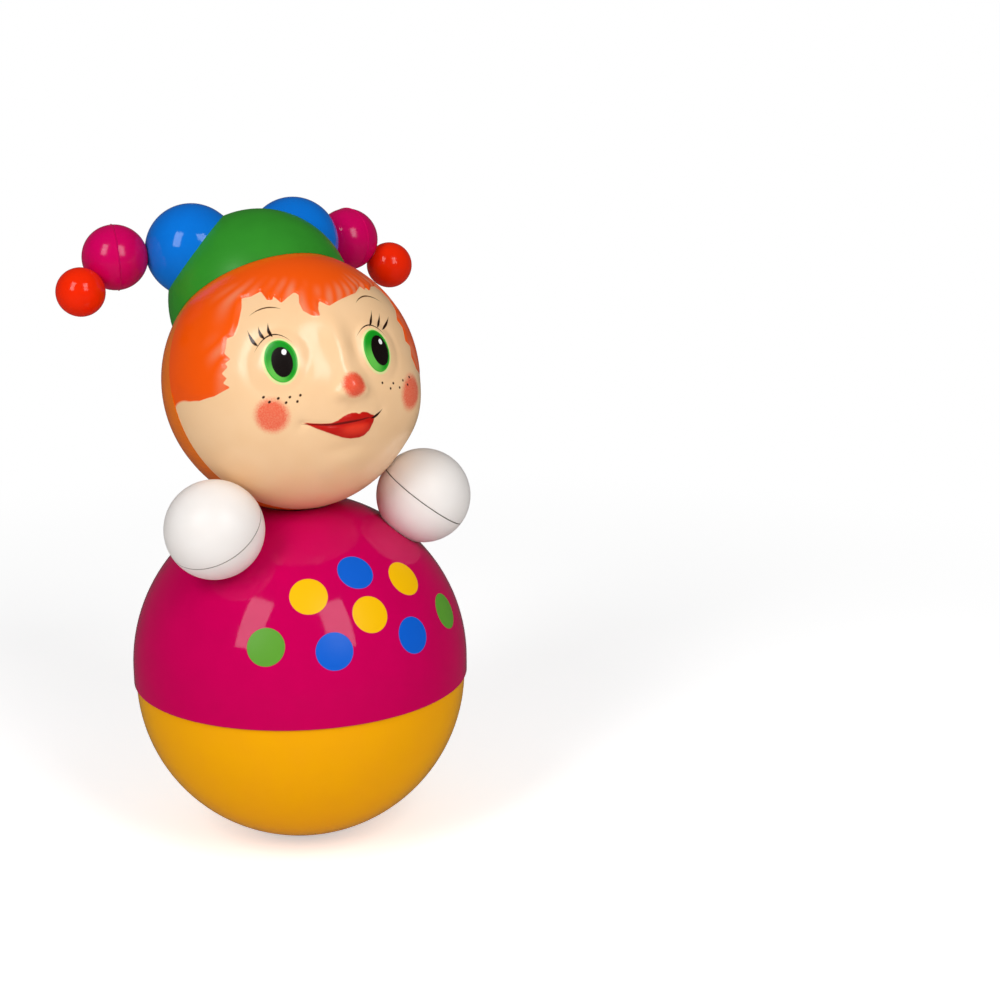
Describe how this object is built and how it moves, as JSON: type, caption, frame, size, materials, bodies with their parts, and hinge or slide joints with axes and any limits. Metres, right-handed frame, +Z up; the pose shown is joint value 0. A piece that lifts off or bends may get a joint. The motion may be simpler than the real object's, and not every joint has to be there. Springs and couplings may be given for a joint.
{
  "type": "roly-poly doll",
  "caption": "Weighted round-bottomed clown doll that rights itself: glossy ball body with dots, ball hands, smiling tilted head in a horned cap, chime inside.",
  "frame": {"origin": "centre of the small flat under the body that the doll stands on", "axes": "+Z up along the body and neck axis, the face looks towards -Y, +X is the doll's own left"},
  "size_m": [0.1454, 0.125, 0.2355],
  "materials": {
    "yellow_shell": "gloss",
    "magenta_shell": "gloss, with painted dots",
    "cream_face": "semi-gloss, painted",
    "orange_hair": "semi-gloss",
    "green_cap": "gloss",
    "blue_dome": "gloss",
    "magenta_ball": "gloss",
    "red_tip": "gloss",
    "white_hand": "satin",
    "cast_iron": "as cast",
    "steel": "bright",
    "ivory_plastic": "moulded",
    "beech": "turned and waxed"
  },
  "bodies": {
    "body": {"lower_shell": "yellow_shell", "upper_shell": "magenta_shell", "ballast_weight": "cast_iron", "ballast_washer": "steel", "ballast_screw": "steel", "chime_base": "ivory_plastic", "chime_screws": "steel", "chime_rod_1": "steel", "chime_rod_2": "steel", "chime_rod_3": "steel", "chime_rod_4": "steel", "chime_rod_5": "steel", "chime_rod_6": "steel", "chime_rod_7": "steel", "chime_rod_8": "steel", "hammer_bridge": "steel", "bridge_screws": "steel", "link_pin": "steel"},
    "head": {"head_front": "cream_face", "head_back": "orange_hair", "neck_plug": "ivory_plastic", "neck_ring": "steel", "cap": "green_cap", "horn_screws": "steel", "left_horn_dome": "blue_dome", "right_horn_dome": "blue_dome", "left_ball_peg": "ivory_plastic", "right_ball_peg": "ivory_plastic", "left_ball_inner": "magenta_ball", "right_ball_inner": "magenta_ball", "left_ball_outer": "magenta_ball", "right_ball_outer": "magenta_ball", "left_tip_peg": "ivory_plastic", "right_tip_peg": "ivory_plastic", "left_tip_inner": "red_tip", "right_tip_inner": "red_tip", "left_tip_outer": "red_tip", "right_tip_outer": "red_tip"},
    "left_hand": {"left_hand_inner": "white_hand", "left_hand_outer": "white_hand", "left_hand_pin": "ivory_plastic", "left_hand_clip": "steel"},
    "right_hand": {"right_hand_inner": "white_hand", "right_hand_outer": "white_hand", "right_hand_pin": "ivory_plastic", "right_hand_clip": "steel"},
    "hammer_link": {"hammer_link": "ivory_plastic", "hammer_pin": "steel"},
    "hammer": {"hammer_rod": "steel", "hammer_bob": "beech"}
  },
  "joints": [
    {"name": "head_turn", "type": "hinge", "parent": "body", "child": "head", "pos_m": [0, 0, 0.17221], "axis": [0, 0, 1], "continuous": true},
    {"name": "left_hand_turn", "type": "hinge", "parent": "body", "child": "left_hand", "pos_m": [0.04265, -0.02034, 0.12801], "axis": [0.551, -0.2628, 0.792], "continuous": true},
    {"name": "right_hand_turn", "type": "hinge", "parent": "body", "child": "right_hand", "pos_m": [-0.04265, -0.02034, 0.12801], "axis": [-0.551, -0.2628, 0.792], "continuous": true},
    {"name": "hammer_pitch", "type": "hinge", "parent": "body", "child": "hammer_link", "pos_m": [0, 0, 0.09121], "axis": [1, 0, 0], "range_deg": [-8, 8]},
    {"name": "hammer_roll", "type": "hinge", "parent": "hammer_link", "child": "hammer", "pos_m": [0, 0, 0.08221], "axis": [0, 1, 0], "range_deg": [-8, 8]}
  ]
}
